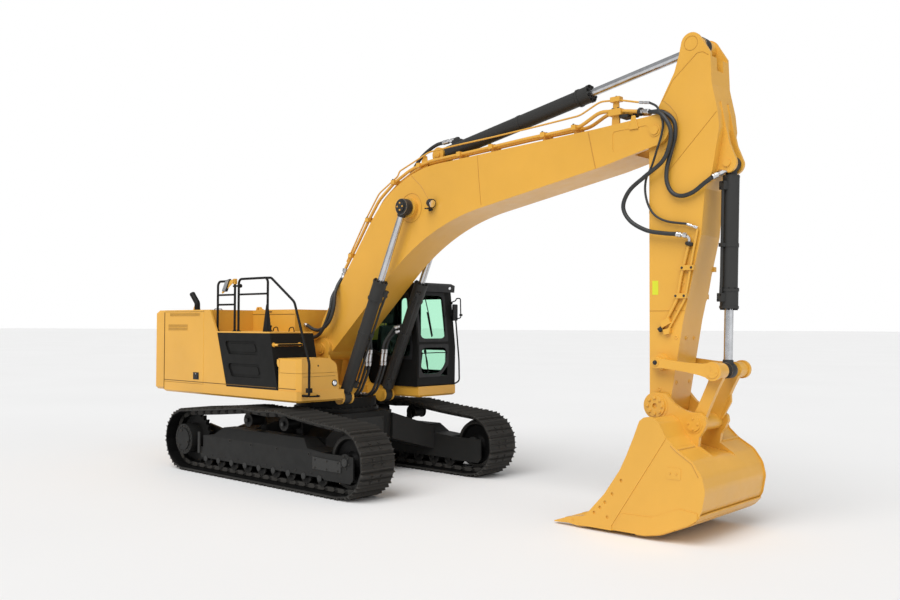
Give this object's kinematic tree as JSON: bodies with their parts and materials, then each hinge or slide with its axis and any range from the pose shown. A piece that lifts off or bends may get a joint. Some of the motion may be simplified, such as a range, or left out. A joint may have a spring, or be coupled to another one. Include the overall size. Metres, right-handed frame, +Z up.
{
  "type": "crawler excavator",
  "caption": "Crawler excavator: tracked undercarriage, slewing house with cab and counterweight, ram-driven boom, stick and linked bucket, opening doors, hood and toolbox.",
  "frame": {"origin": "on the ground under the middle of the whole machine's bounding box", "axes": "+X forward towards the bucket, +Y to the machine's left (cab side), +Z up"},
  "size_m": [10.6446, 3.37, 5.9199],
  "materials": {
    "yellow_paint": "semi-gloss enamel",
    "dark_paint": "satin dark grey enamel",
    "track_steel": "dark worn steel",
    "machined_steel": "machined",
    "rod_chrome": "polished",
    "glass": "clear, faint green",
    "seat_fabric": "woven",
    "interior_plastic": "matt moulded",
    "engine_iron": "painted casting"
  },
  "bodies": {
    "undercarriage": {"carbody": "dark_paint", "slew_bearing": "machined_steel", "track_frame_left": "dark_paint", "track_frame_right": "dark_paint", "track_left": "track_steel", "track_right": "track_steel", "idler_left": "track_steel", "idler_right": "track_steel", "final_drive_left": "track_steel", "final_drive_right": "track_steel", "track_rollers": "track_steel", "carrier_rollers": "track_steel"},
    "house": {"platform": "yellow_paint", "counterweight": "yellow_paint", "engine": "engine_iron", "hood_frame": "yellow_paint", "tanks": "yellow_paint", "side_panel": "dark_paint", "toolbox": "yellow_paint", "handrails": "dark_paint", "exhaust": "dark_paint", "swing_motor": "engine_iron", "cab_shell": "dark_paint", "cab_glass": "glass", "seat": "seat_fabric", "cab_console": "interior_plastic", "cab_visor": "interior_plastic"},
    "cab_door": {"cab_door": "dark_paint", "cab_door_glass": "glass"},
    "engine_hood": {"engine_hood": "yellow_paint"},
    "service_door_right": {"service_door_right": "yellow_paint"},
    "service_door_rear": {"service_door_rear": "yellow_paint"},
    "service_door_middle": {"service_door_middle": "yellow_paint"},
    "toolbox_lid": {"toolbox_lid": "yellow_paint"},
    "boom": {"boom": "yellow_paint"},
    "boom_cylinder_barrels": {"boom_cylinder_barrels": "dark_paint"},
    "boom_cylinder_rods": {"boom_cylinder_rods": "rod_chrome"},
    "stick": {"stick": "yellow_paint"},
    "stick_cylinder_barrel": {"stick_cylinder_barrel": "dark_paint"},
    "stick_cylinder_rod": {"stick_cylinder_rod": "rod_chrome"},
    "bucket_cylinder_barrel": {"bucket_cylinder_barrel": "dark_paint"},
    "bucket_cylinder_rod": {"bucket_cylinder_rod": "rod_chrome"},
    "guide_links": {"guide_links": "yellow_paint"},
    "power_link": {"power_link": "yellow_paint"},
    "bucket": {"bucket": "yellow_paint"}
  },
  "joints": [
    {"name": "house_slew", "type": "hinge", "parent": "undercarriage", "child": "house", "pos_m": [-1.7775, 0, 1.27], "axis": [0, 0, 1], "continuous": true},
    {"name": "boom_lift", "type": "hinge", "parent": "house", "child": "boom", "pos_m": [-1.7275, 0, 2.05], "axis": [0, -1, 0], "range_deg": [-60, 30]},
    {"name": "boom_cylinder_swing", "type": "hinge", "parent": "house", "child": "boom_cylinder_barrels", "pos_m": [-1.0675, 0, 1.3], "axis": [0, -1, 0], "range_deg": [-57, 29]},
    {"name": "boom_cylinder_stroke", "type": "slide", "parent": "boom_cylinder_barrels", "child": "boom_cylinder_rods", "axis": [0.4131, 0, 0.9107], "range_m": [-0.965, 0.485]},
    {"name": "stick_swing", "type": "hinge", "parent": "boom", "child": "stick", "pos_m": [4.3725, 0, 4.81], "axis": [0, 1, 0], "range_deg": [-83, 25]},
    {"name": "stick_cylinder_swing", "type": "hinge", "parent": "boom", "child": "stick_cylinder_barrel", "pos_m": [0.6225, 0, 5], "axis": [0, 1, 0], "range_deg": [-3, 1]},
    {"name": "stick_cylinder_stroke", "type": "slide", "parent": "stick_cylinder_barrel", "child": "stick_cylinder_rod", "axis": [0.9828, 0, 0.1849], "range_m": [-1.4, 0.425]},
    {"name": "bucket_curl", "type": "hinge", "parent": "stick", "child": "bucket", "pos_m": [4.3825, 0, 1.49], "axis": [0, 1, 0], "range_deg": [-48, 112]},
    {"name": "guide_link_swing", "type": "hinge", "parent": "stick", "child": "guide_links", "pos_m": [4.4325, 0, 2.01], "axis": [0, 1, 0], "range_deg": [-28, 65]},
    {"name": "power_link_swing", "type": "hinge", "parent": "guide_links", "child": "power_link", "pos_m": [5.1525, 0, 1.93], "axis": [0, 1, 0], "range_deg": [-29, 13]},
    {"name": "bucket_cylinder_swing", "type": "hinge", "parent": "stick", "child": "bucket_cylinder_barrel", "pos_m": [5.2075, 0, 4.34], "axis": [0, 1, 0], "range_deg": [-3, 6.5]},
    {"name": "bucket_cylinder_stroke", "type": "slide", "parent": "bucket_cylinder_barrel", "child": "bucket_cylinder_rod", "axis": [-0.0228, 0, -0.9997], "range_m": [-0.31, 0.71]},
    {"name": "cab_door_swing", "type": "hinge", "parent": "house", "child": "cab_door", "pos_m": [-1.3605, 1.503, 1.5], "axis": [0, 0, 1], "range_deg": [0, 160]},
    {"name": "service_door_right_swing", "type": "hinge", "parent": "house", "child": "service_door_right", "pos_m": [-3.4525, -1.475, 1.5], "axis": [0, 0, 1], "range_deg": [0, 90]},
    {"name": "service_door_rear_swing", "type": "hinge", "parent": "house", "child": "service_door_rear", "pos_m": [-4.6275, 1.475, 1.5], "axis": [0, 0, 1], "range_deg": [0, 90]},
    {"name": "service_door_middle_swing", "type": "hinge", "parent": "house", "child": "service_door_middle", "pos_m": [-3.2675, 1.475, 1.5], "axis": [0, 0, 1], "range_deg": [0, 90]},
    {"name": "engine_hood_lift", "type": "hinge", "parent": "house", "child": "engine_hood", "pos_m": [-3.4175, 0, 2.675], "axis": [0, 1, 0], "range_deg": [0, 60]},
    {"name": "toolbox_lid_lift", "type": "hinge", "parent": "house", "child": "toolbox_lid", "pos_m": [-1.4255, -1, 1.895], "axis": [0, -1, 0], "range_deg": [0, 80]}
  ],
  "couplings": [
    {"joint": "boom_cylinder_swing", "follows": "boom_lift", "ratio": 0.944},
    {"joint": "boom_cylinder_stroke", "follows": "boom_lift", "m_per_rad": 0.9159},
    {"joint": "stick_cylinder_swing", "follows": "stick_swing", "ratio": 0.0327},
    {"joint": "stick_cylinder_stroke", "follows": "stick_swing", "m_per_rad": 0.9626},
    {"joint": "guide_link_swing", "follows": "bucket_curl", "ratio": 0.5728},
    {"joint": "power_link_swing", "follows": "bucket_curl", "ratio": -0.25},
    {"joint": "bucket_cylinder_swing", "follows": "bucket_curl", "ratio": 0.05446},
    {"joint": "bucket_cylinder_stroke", "follows": "bucket_curl", "m_per_rad": 0.3611}
  ]
}
